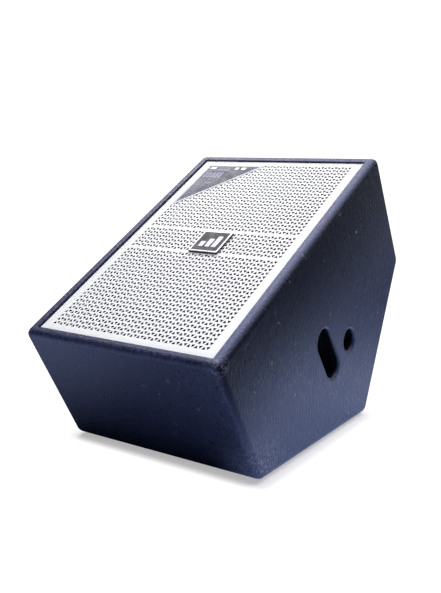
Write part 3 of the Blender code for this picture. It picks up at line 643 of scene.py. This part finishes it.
CAD_LOOKS = {
    "plywood": plywood_material(),
    "wadding": simple_material("wadding", (0.62, 0.61, 0.58), 0.95, grain=220, depth=0.002),
    "black_foam": foam_material(),
    "cast_frame": simple_material("cast_frame", (0.035, 0.035, 0.04), 0.5, 0.6, grain=500),
    "rubber": RUBBER,
    "paper": simple_material("pressed_pulp", (0.03, 0.03, 0.034), 0.9, grain=380, depth=0.0003),
    "copper": simple_material("enamelled_copper", (0.55, 0.20, 0.09), 0.3, 1.0, grain=1500),
    "cloth": simple_material("treated_cloth", (0.10, 0.07, 0.035), 0.9, grain=900, depth=0.0002),
    "black_steel": BLACK_STEEL,
    "ferrite": simple_material("ferrite", (0.03, 0.03, 0.033), 0.65, grain=700, depth=0.0002),
    "black_plastic": BLACK_PLASTIC,
    "titanium": simple_material("titanium_foil", (0.55, 0.52, 0.49), 0.28, 1.0),
    "circuit_board": pcb_material(),
    "capacitor_case": simple_material("capacitor_case", (0.42, 0.06, 0.03), 0.35),
    "zinc_steel": ZINC,
    "cable": simple_material("cable_jacket", (0.016, 0.016, 0.018), 0.55),
    "textured_paint": PAINT,
    "white_steel": WHITE,
    "decal_film": FIELD,
}


def dress_cad_nodes():
    for row in frame["record"]["subparts"]:
        mesh = NODES[row["node"]].data
        mesh.materials.clear()
        mesh.materials.append(CAD_LOOKS[row["material_slot"]])


# ---------------------------------------------------------------- cabinet

def inner_outline():
    """The cavity's (Y, Z) outline, open past the rim at both ends."""
    lines = []
    for start, end, ply in zip(OUTLINE, OUTLINE[1:], PANEL_PLY):
        along = (end - start).normalized()
        lines.append((start + Vector((-along.y, along.x)) * ply, along))
    corners = [Vector((FRONT_PLY, 0.02))]
    for (a, along_a), (b, along_b) in zip(lines, lines[1:]):
        corners.append(meeting_point(a, along_a, b, along_b))
    corners.append(Vector((FACE_LENGTH - PLY, 0.02)))
    return corners


def add_flared_hole(bm, side, top, bottom, radius, lip, steps=8):
    """A tool for a hole through a side panel whose outer edge is rounded."""
    loops = [obround(side * (HALF + 0.002), top, bottom, radius + lip)]
    for i in range(steps + 1):
        angle = math.pi / 2 * i / steps
        depth = lip * (1 - math.cos(angle))
        reach = radius + lip * (1 - math.sin(angle))
        loops.append(obround(side * (HALF - depth), top, bottom, reach))
    loops.append(obround(side * (INSIDE - 0.002), top, bottom, radius))
    add_loft(bm, loops)


def cut(item, bm, place=Matrix.Identity(4)):
    """Cuts a shape out of an object for good."""
    tool = mesh_object("cutting_tool", bm, place)
    boolean = item.modifiers.new("cut", "BOOLEAN")
    boolean.object = tool
    boolean.solver = "EXACT"
    bpy.context.view_layer.update()
    evaluated = item.evaluated_get(bpy.context.evaluated_depsgraph_get())
    mesh = bpy.data.meshes.new_from_object(evaluated)
    item.modifiers.clear()
    item.data = mesh
    bpy.data.objects.remove(tool)


def cabinet_shell():
    """The painted cabinet as one continuous skin over its six glued panels."""
    shell = piece("cabinet_shell", rounded_cabinet(10), [PAINT], replaces=(
        "side_panel_left", "side_panel_right", "front_panel", "bottom_panel",
        "rear_lower_panel", "rear_upper_panel"))
    cavity = bmesh.new()
    add_prism(cavity, inner_outline(), -INSIDE, INSIDE)
    cut(shell, cavity)
    holes = bmesh.new()
    for side in (-1, 1):
        add_flared_hole(holes, side, SLOT_TOP, SLOT_BOTTOM, SLOT_RADIUS, SLOT_LIP)
    add_flared_hole(holes, 1, SOCKET_CENTRE, SOCKET_CENTRE, SOCKET_RADIUS, SOCKET_LIP)
    cut(shell, holes)
    opening = bmesh.new()
    add_loft(opening, [
        rounded_rectangle(OPENING_HALF_WIDTH, OPENING_HALF_HEIGHT, OPENING_CORNER, z)
        for z in (0.002, -PLY - 0.002)])
    cut(shell, opening, INPUT_FRAME @ Matrix.Translation((0, INPUT_Y, 0)))
    shell.data.shade_smooth()
    shell.data.set_sharp_from_angle(angle=math.radians(30))
    weighted = shell.modifiers.new("even_flats", "WEIGHTED_NORMAL")
    weighted.keep_sharp = True
    weighted.weight = 100


# ---------------------------------------------------------------- grille

def row_centres():
    centres = []
    y = FIRST_ROW
    for i in range(HOLE_ROWS):
        if i in BREAK_ROWS:
            y += ROW_BREAK
        centres.append(y)
        y += ROW_PITCH
    return centres


def hole_outline(x, y, up):
    """A triangle with its corners cut off, centred on (x, y) and pointing up or down."""
    sign = 1 if up else -1
    tips = [Vector((x, y + sign * HOLE_HEIGHT / 2)),
            Vector((x - sign * HOLE_WIDTH / 2, y - sign * HOLE_HEIGHT / 2)),
            Vector((x + sign * HOLE_WIDTH / 2, y - sign * HOLE_HEIGHT / 2))]
    outline = []
    for before, tip, after in zip(tips[-1:] + tips[:-1], tips, tips[1:] + tips[:1]):
        outline.append(tip.lerp(before, HOLE_CORNER))
        outline.append(tip.lerp(after, HOLE_CORNER))
    return outline


class SheetLayer:
    """One side of the perforated sheet: a grid of vertices at one height."""

    def __init__(self, bm, xs, ys, z):
        self.bm = bm
        self.z = z
        self.grid = [[bm.verts.new((x, y, z)) for x in xs] for y in ys]

    def hole(self, row, column, outline):
        """A cell with a hole in it; the hole's vertices are returned."""
        ring = [self.bm.verts.new((p.x, p.y, self.z)) for p in outline]
        corners = [self.grid[row][column], self.grid[row][column + 1],
                   self.grid[row + 1][column + 1], self.grid[row + 1][column]]
        centre = sum((p for p in outline), Vector((0, 0))) / len(outline)

        def bearing(vert):
            return math.atan2(vert.co.y - centre.y, vert.co.x - centre.x)

        outer = sorted(corners, key=bearing)
        inner = sorted(ring, key=bearing)
        self.stitch(outer, inner, bearing)
        return inner

    def stitch(self, outer, inner, bearing):
        """Triangles between two loops that go round the same centre."""
        start = min(range(len(inner)), key=lambda k: abs(bearing(inner[k]) - bearing(outer[0])))
        inner = inner[start:] + inner[:start]

        def turn(vert, first):
            return (bearing(vert) - bearing(first)) % math.tau

        i = j = 0
        while i < len(outer) or j < len(inner):
            next_outer = turn(outer[i + 1], outer[0]) if i + 1 < len(outer) else math.tau
            next_inner = turn(inner[j + 1], outer[0]) if j + 1 < len(inner) else math.tau + 0.01
            a = outer[i % len(outer)]
            b = inner[j % len(inner)]
            if j >= len(inner) or (i < len(outer) and next_outer <= next_inner):
                i += 1
                self.bm.faces.new((a, outer[i % len(outer)], b))
            else:
                j += 1
                self.bm.faces.new((a, inner[j % len(inner)], b))

    def plain(self, row, column):
        self.bm.faces.new((self.grid[row][column], self.grid[row][column + 1],
                           self.grid[row + 1][column + 1], self.grid[row + 1][column]))

    def edge_loop(self):
        grid = self.grid
        loop = list(grid[0][:-1])
        loop += [row[-1] for row in grid[:-1]]
        loop += list(reversed(grid[-1][1:]))
        loop += [row[0] for row in reversed(grid[1:])]
        return loop


def grille_lines():
    """The grid's X and Y lines, and the rows of cells that hold holes."""
    xs = [(k - HOLE_COLUMNS / 2) * HOLE_PITCH for k in range(HOLE_COLUMNS + 1)]
    ys = []
    hole_rows = {}
    for y in row_centres():
        low, high = y - ROW_PITCH / 2, y + ROW_PITCH / 2
        if not ys or low - ys[-1] > 1e-6:
            ys.append(low)
        hole_rows[len(ys) - 1] = y
        ys.append(high)
    return xs, ys, hole_rows


def folded_edge(bm, top_loop, bottom_loop):
    """The plain border round the holes, bent down at its rim."""
    centre_y = (GRILLE_START + GRILLE_END) / 2
    half_y = (GRILLE_END - GRILLE_START) / 2

    def station(loop, inset, z):
        low_y = min(v.co.y for v in loop)
        high_y = max(v.co.y for v in loop)
        high_x = max(v.co.x for v in loop)
        ring = []
        for vert in loop:
            x, y = vert.co.x, vert.co.y
            if abs(abs(x) - high_x) < 1e-7:
                x = math.copysign(GRILLE_HALF_WIDTH - inset, x)
            if y - low_y < 1e-7:
                y = centre_y - half_y + inset
            elif high_y - y < 1e-7:
                y = centre_y + half_y - inset
            ring.append(bm.verts.new((x, y, z)))
        return ring

    rings = [top_loop]
    for i in range(5):
        angle = math.pi / 2 * i / 4
        inset = GRILLE_BEND * (1 - math.sin(angle))
        rings.append(station(top_loop, inset, GRILLE_TOP - GRILLE_BEND * (1 - math.cos(angle))))
    rings.append(station(top_loop, 0, GRILLE_FOLD))
    rings.append(station(top_loop, GRILLE_SHEET, GRILLE_FOLD))
    rings.append(station(top_loop, GRILLE_SHEET, GRILLE_TOP - GRILLE_SHEET))
    rings.append(bottom_loop)
    for ring, following in zip(rings, rings[1:]):
        add_band(bm, ring, following)


def grille_sheet():
    """The perforated sheet: rows of small triangles that point up and down in turn."""
    xs, ys, hole_rows = grille_lines()
    bm = bmesh.new()
    top = SheetLayer(bm, xs, ys, GRILLE_TOP)
    bottom = SheetLayer(bm, xs, ys, GRILLE_TOP - GRILLE_SHEET)
    for row in range(len(ys) - 1):
        for column in range(HOLE_COLUMNS):
            if row not in hole_rows:
                top.plain(row, column)
                bottom.plain(row, column)
                continue
            x = (xs[column] + xs[column + 1]) / 2
            outline = hole_outline(x, hole_rows[row], column % 2 == 0)
            add_band(bm, top.hole(row, column, outline), bottom.hole(row, column, outline))
    folded_edge(bm, top.edge_loop(), bottom.edge_loop())
    piece("grille_sheet", bm, [WHITE], replaces=("grille_screen",), sharp=25)


# ---------------------------------------------------------------- soft pieces

def slab_height(x, y, half_x, half_y, thickness, wave, tacks):
    """The rise of a padded face: rounded at the sides, wavy, and dimpled at its tacks."""
    u, v = abs(x) / half_x, abs(y) / half_y
    rise = thickness * (0.35 + 0.65 * math.sqrt(max(0.0, (1 - u ** 12) * (1 - v ** 12))))
    rise += wave * (noise.noise(Vector((x * 22, y * 22, 1.7))) - 0.5)
    for tack_x, tack_y in tacks:
        away = math.hypot(x - tack_x, y - tack_y)
        rise -= TACK_DEPTH * thickness * math.exp(-(away / TACK_REACH) ** 2)
    return rise


def spread(half, count):
    """Positions from -half to half that draw closer together towards the ends."""
    return [half * math.sin(math.pi / 2 * (2 * i / count - 1)) for i in range(count + 1)]


def soft_slab(name, look, place, half_x, half_y, thickness, wave, tacks, replaces):
    """A padded slab, flat on its back."""
    bm = bmesh.new()
    face, back = [], []
    for y in spread(half_y, SLAB_ROWS):
        face.append([])
        back.append([])
        for x in spread(half_x, SLAB_COLUMNS):
            height = slab_height(x, y, half_x, half_y, thickness, wave, tacks)
            face[-1].append(bm.verts.new((x, y, height)))
            back[-1].append(bm.verts.new((x, y, 0)))
    strips = [rows for grid in (face, back) for rows in zip(grid, grid[1:])]
    strips += [(face[0], back[0]), (face[-1], back[-1])]
    strips += [([row[end] for row in face], [row[end] for row in back]) for end in (0, -1)]
    for low, high in strips:
        for i in range(len(low) - 1):
            bm.faces.new((low[i], low[i + 1], high[i + 1], high[i]))
    return piece(name, bm, [CAD_LOOKS[look]], place, replaces, sharp=60)


def surround():
    """The half-roll surround, parted at its crown so that its inner half moves with the cone."""
    place = Matrix.Translation((0, WOOFER_Y, 0))
    base = SURROUND_SEAT
    for name, sign, edge, body, replaces in (
            ("surround_outer", 1, SURROUND_OUTER_EDGE, CABINET, ("woofer_surround",)),
            ("surround_inner", -1, SURROUND_INNER_EDGE, "woofer_cone", ())):
        angles = [math.radians(89) * i / 12 for i in range(13)]
        over = [(ROLL_RADIUS + sign * ROLL_OUTSIDE * math.cos(a),
                 base + SURROUND_LIP + ROLL_OUTSIDE * math.sin(a)) for a in angles]
        under = [(ROLL_RADIUS + sign * ROLL_INSIDE * math.cos(a),
                  base + ROLL_INSIDE * math.sin(a)) for a in reversed(angles)]
        profile = [(edge, base), (edge, base + SURROUND_LIP)] + over + under
        rubber = bmesh.new()
        add_turned(rubber, profile, 96)
        piece(name, rubber, [RUBBER], place, replaces, body=body)


def soft_pieces():
    """The foam behind the grille, and the wadding tacked inside the bottom panel."""
    behind = Matrix.Translation((0, FOAM_MIDDLE, FOAM_BACK))
    foam = soft_slab("grille_foam_sheet", "black_foam", behind, FOAM_HALF_WIDTH,
                     FOAM_HALF_LENGTH, FOAM_THICKNESS, FOAM_WAVE, (), ("grille_foam",))
    inside = panel_frame(FRONT_FOOT, KEEL) @ Matrix.Translation((0, LINING_MIDDLE, -PLY - 0.0003))
    inside = inside @ Matrix.Rotation(math.pi, 4, "Y")
    wadding = soft_slab("lining_wadding", "wadding", inside, LINING_HALF_WIDTH,
                        LINING_HALF_LENGTH, LINING_THICKNESS, LINING_WAVE, LINING_TACKS,
                        ("lining_pad",))


# ---------------------------------------------------------------- badge and label

def badge():
    """A dark-sided plate with a bright border, a dark field and a plain level-bar mark."""
    place = Matrix.Translation((*BADGE_CENTRE, 0))
    base = LABEL_BASE
    inner = BADGE_HALF - BADGE_BORDER
    body = bmesh.new()
    add_loft(body, [rounded_rectangle(BADGE_HALF, BADGE_HALF, 0.0012, z)
                    for z in (base, BADGE_TOP - 0.0005)])
    piece("badge_body", body, [GLOSS_BLACK], place, ("badge_plate", "badge_face"))
    border = bmesh.new()
    add_loft(border, [rounded_rectangle(half, half, 0.0010, z) for half, z in (
        (BADGE_HALF, BADGE_TOP - 0.0004), (BADGE_HALF, BADGE_TOP - 0.0001),
        (BADGE_HALF - 0.0002, BADGE_TOP), (inner, BADGE_TOP), (inner, BADGE_TOP - 0.0004))],
        closed=True)
    piece("badge_border", border, [SILVER], place)
    field = bmesh.new()
    add_loft(field, [rounded_rectangle(inner - 0.0001, inner - 0.0001, 0.0008, z)
                     for z in (BADGE_TOP - 0.0004, BADGE_TOP - 0.00025)])
    piece("badge_field", field, [BADGE_DARK], place)
    mark = bmesh.new()
    for x, height in BADGE_BARS:
        centre = Matrix.Translation((x, BADGE_BAR_FOOT + height / 2, 0))
        steps = ((0, BADGE_TOP - 0.0002), (0, BADGE_TOP), (0.0003, BADGE_TOP + 0.0001))
        loops = [rounded_rectangle(BADGE_BAR_WIDTH / 2 - inset, height / 2 - inset, 0.0010, z)
                 for inset, z in steps]
        add_loft(mark, [[centre @ point for point in loop] for loop in loops])
    piece("badge_mark", mark, [MARK_WHITE], place)


def triangle_loop(inset, z):
    """The label's outline, drawn in by inset on every side."""
    width = LABEL_WIDTH - inset * (2 + math.hypot(LABEL_WIDTH, LABEL_HEIGHT) / LABEL_HEIGHT)
    height = width * LABEL_HEIGHT / LABEL_WIDTH
    corner = LABEL_CORNER + Vector((inset, -inset))
    return [Vector((corner.x, corner.y, z)), Vector((corner.x, corner.y - height, z)),
            Vector((corner.x + width, corner.y, z))]


def add_bar(bm, left, down, length, thick):
    """A printed bar, placed from the label's corner."""
    x, y = LABEL_CORNER.x + left, LABEL_CORNER.y - down
    corners = ((x, y - thick), (x + length, y - thick), (x + length, y), (x, y))
    add_loft(bm, [[Vector((*corner, z)) for corner in corners] for z in PRINT_LAYER])


def label_reach(down):
    """How far right the label's print goes at a distance down from its corner."""
    return 0.8 * (LABEL_WIDTH * (1 - down / LABEL_HEIGHT) - 0.016)


def add_text_lines(bm):
    """Lines of bars of uneven length, down to the label's lower tip."""
    draw = random.Random(7)
    down = LABEL_TEXT_TOP
    while down < LABEL_TEXT_END:
        thick = draw.uniform(0.0012, 0.0030)
        left, reach = LABEL_TEXT_LEFT, label_reach(down + thick)
        while left < reach - 0.003:
            length = min(draw.uniform(0.012, 0.045), reach - left)
            add_bar(bm, left, down, length, thick)
            left += length + draw.uniform(0.001, 0.003)
        down += thick + draw.uniform(0.0012, 0.0030)


def label():
    """A triangle of pale film with a dark field, and plain bars and boxes for its print."""
    film = bmesh.new()
    add_loft(film, [triangle_loop(0, z) for z in FILM_LAYER])
    piece("label_film", film, [FILM], replaces=("grille_label",))
    field = bmesh.new()
    add_loft(field, [triangle_loop(LABEL_MARGIN, z) for z in FIELD_LAYER])
    piece("label_field", field, [FIELD])
    marks = bmesh.new()
    for left, length in LABEL_MARKS:
        add_bar(marks, left, 0.0085, length, 0.0075)
    piece("label_marks", marks, [MARK_WHITE])
    bars = bmesh.new()
    for left, down, length, thick in LABEL_HEADING:
        add_bar(bars, left, down, length, thick)
    for column in range(5):
        add_bar(bars, LABEL_TEXT_LEFT + column * 0.0085, 0.0270, 0.0070, 0.0200)
    add_text_lines(bars)
    piece("label_print", bars, [PRINT])


# ---------------------------------------------------------------- input plate details

def on_plate(x, y):
    """A frame on the input plate, from the plate's middle."""
    return INPUT_FRAME @ Matrix.Translation((x, INPUT_Y + y, 0))


def add_block(bm, low, high, place=Matrix.Identity(4)):
    """A box between two corners."""
    (x0, y0, z0), (x1, y1, z1) = low, high
    add_loft(bm, [[place @ Vector((x, y, z)) for x, y in ((x0, y0), (x1, y0), (x1, y1), (x0, y1))]
                  for z in (z0, z1)])


def input_marks():
    """Plain printed bars, ticks and a frame line on the input plate."""
    ink = bmesh.new()
    bars = [(x, -0.0245, 0.0090, 0.0012, 0.0005) for x in (SOCKET_A_X, SOCKET_B_X)]
    bars += [(SWITCH_X + x, -0.0135, 0.0012, 0.0022, 0.0004) for x in (-0.0044, 0.0044)]
    for x, y, half_x, half_y, corner in bars:
        spot = Matrix.Translation((x, y, 0))
        add_loft(ink, [[spot @ p for p in rounded_rectangle(half_x, half_y, corner, z)]
                       for z in INK])
    outer, inner = [[rounded_rectangle(half_x, half_y, 0.0030, z) for z in INK]
                    for half_x, half_y in ((0.0600, 0.0400), (0.0596, 0.0396))]
    add_loft(ink, [outer[0], outer[1], inner[1], inner[0]], closed=True)
    piece("input_plate_marks", ink, [PLATE_INK], on_plate(0, 0))


def socket_core(letter, x):
    """The round core in a speaker socket's well, and the well's four guide ribs."""
    core = bmesh.new()
    add_turned(core, [(0, CORE_TOP), (CORE_RADIUS - CORE_CHAMFER, CORE_TOP),
                      (CORE_RADIUS, CORE_TOP - CORE_CHAMFER), (CORE_RADIUS, WELL_FLOOR),
                      (0, WELL_FLOOR)], 32)
    for turn in range(4):
        spin = Matrix.Rotation(math.tau * (turn + 0.5) / 4, 4, "Z")
        add_block(core, (RIB_INNER, -RIB_HALF_WIDTH, WELL_FLOOR),
                  (RIB_OUTER, RIB_HALF_WIDTH, RIB_TOP), spin)
    piece(f"socket_core_{letter}", core, [BLACK_PLASTIC], on_plate(x, 0))


def input_screw(number, x, y):
    """A domed screw with a cross recess."""
    head = bmesh.new()
    dome = [(0, SCREW_TOP), (0.0016, SCREW_TOP - 0.00012), (0.0027, SCREW_TOP - 0.0006),
            (SCREW_HEAD_RADIUS, SCREW_TOP - 0.0012)]
    shank = [(SCREW_SHANK_RADIUS, SCREW_SEAT), (SCREW_SHANK_RADIUS, SCREW_TIP), (0, SCREW_TIP)]
    add_turned(head, dome + [(SCREW_HEAD_RADIUS, SCREW_SEAT)] + shank, 32)
    screw = piece(f"input_screw_{number}", head, [ZINC], on_plate(x, y),
                  (f"input_plate_screw_{number}",))
    recess = bmesh.new()
    arm, half = RECESS_ARM, RECESS_HALF_WIDTH
    cross = [(arm, -half), (arm, half), (half, half), (half, arm), (-half, arm), (-half, half),
             (-arm, half), (-arm, -half), (-half, -half), (-half, -arm), (half, -arm),
             (half, -half)]
    add_loft(recess, [[Vector((px, py, z)) for px, py in cross]
                      for z in (SCREW_TOP - RECESS_DEPTH, SCREW_TOP + 0.001)])
    cut(screw, recess, on_plate(x, y) @ Matrix.Rotation(0.4 + number, 4, "Z"))


def input_details():
    """What the input plate carries besides its CAD parts."""
    socket_core("a", SOCKET_A_X)
    socket_core("b", SOCKET_B_X)
    places = [(x, y) for x in (-PLATE_SCREW_X, PLATE_SCREW_X)
              for y in (-PLATE_SCREW_Y, PLATE_SCREW_Y)]
    for number, (x, y) in enumerate(places, 1):
        input_screw(number, x, y)


# ---------------------------------------------------------------- stage

def painted_floor_light(s):
    """Painted light on the floor, seen only in reflections: palest on the right, with painted
    shade under the front's edge.
    """
    right = s.ramp(s.distance((0.22, 0.0, 0.0)), 0.10, 1.0, 1.0, 0.12)
    right = s.math("MULTIPLY", right, s.ramp(s.axis("X"), 0.10, 0.20))
    forward = s.math("MULTIPLY", s.ramp(s.axis("Y"), -0.19, -0.38),
                     s.ramp(s.axis("X"), 0.0, -0.35, 0.33, 0.72))
    return s.math("MAXIMUM", right, forward)


def floor_material():
    """White to the eye, fading into the background away from the object; in reflections, dim apart
    from a painted pool of light that glows on the right.
    """
    s = Shader("studio_floor")
    lit = painted_floor_light(s)
    # painted light: the floor's colour and glow follow the painted pool of light
    s.set(Base_Color=s.mix(lit, (0.03, 0.03, 0.035), (0.74, 0.80, 1.0)), Roughness=0.9,
          Specular_IOR_Level=0.1, Emission_Color=(0.40, 0.56, 1.0, 1.0),
          Emission_Strength=s.math("MULTIPLY", lit, 0.56))
    plain = s.node("ShaderNodeBsdfDiffuse", Color=(0.96, 0.96, 0.98, 1.0))
    glow = s.node("ShaderNodeEmission", Color=(1.0, 1.0, 1.0, 1.0), Strength=1.2)
    beside = s.distance_from_base()
    seen = s.mix_shaders(s.ramp(beside, 0.0, 0.035, 0.35, 1.0), plain.outputs[0], glow.outputs[0])
    eye = s.node("ShaderNodeLightPath").outputs["Is Camera Ray"]
    output = s.tree.nodes["Material Output"]
    s.put(output.inputs["Surface"], s.mix_shaders(eye, s.surface.outputs[0], seen))
    return s.material


def floor():
    """A round table top."""
    bm = bmesh.new()
    bmesh.ops.create_circle(bm, cap_ends=True, radius=FLOOR_RADIUS, segments=128)
    mesh = bpy.data.meshes.new("floor")
    bm.to_mesh(mesh)
    bm.free()
    mesh.materials.append(floor_material())
    ground = bpy.data.objects.new("floor", mesh)
    bpy.context.scene.collection.objects.link(ground)


def softbox(name, place, aim, size, power, colour):
    data = bpy.data.lights.new(name, "AREA")
    data.shape = "RECTANGLE"
    data.size, data.size_y = size
    data.energy = power
    data.color = colour
    lamp = bpy.data.objects.new(name, data)
    bpy.context.scene.collection.objects.link(lamp)
    lamp.location = place
    lamp.rotation_euler = (Vector(aim) - Vector(place)).to_track_quat("-Z", "Y").to_euler()


def world():
    """White where it is seen, dim where it only lights the object."""
    made = bpy.data.worlds.new("studio")
    bpy.context.scene.world = made
    made.use_nodes = True
    tree = made.node_tree
    seen = tree.nodes["Background"]
    seen.inputs["Color"].default_value = (1, 1, 1, 1)
    seen.inputs["Strength"].default_value = 1.2
    dim = tree.nodes.new("ShaderNodeBackground")
    dim.inputs["Color"].default_value = (0.55, 0.62, 1.0, 1)
    dim.inputs["Strength"].default_value = 0.07
    path = tree.nodes.new("ShaderNodeLightPath")
    both = tree.nodes.new("ShaderNodeMixShader")
    tree.links.new(path.outputs["Is Camera Ray"], both.inputs[0])
    tree.links.new(dim.outputs[0], both.inputs[1])
    tree.links.new(seen.outputs[0], both.inputs[2])
    tree.links.new(both.outputs[0], tree.nodes["World Output"].inputs["Surface"])


def camera():
    data = bpy.data.cameras.new("camera")
    data.lens = CAMERA_LENS
    data.sensor_width = 36
    eye = bpy.data.objects.new("camera", data)
    bpy.context.scene.collection.objects.link(eye)
    turn = Euler([math.radians(angle) for angle in CAMERA_TURN]).to_matrix().to_4x4()
    eye.matrix_world = Matrix.Translation(CAMERA_PLACE) @ turn
    bpy.context.scene.camera = eye


def stage():
    """The floor, the lamps, the world and the camera."""
    floor()
    for lamp in LAMPS:
        softbox(*lamp)
    world()
    camera()
    bpy.context.scene.view_settings.view_transform = "Standard"


dress_cad_nodes()
cabinet_shell()
grille_sheet()
badge()
label()
soft_pieces()
surround()
input_marks()
input_details()
stage()
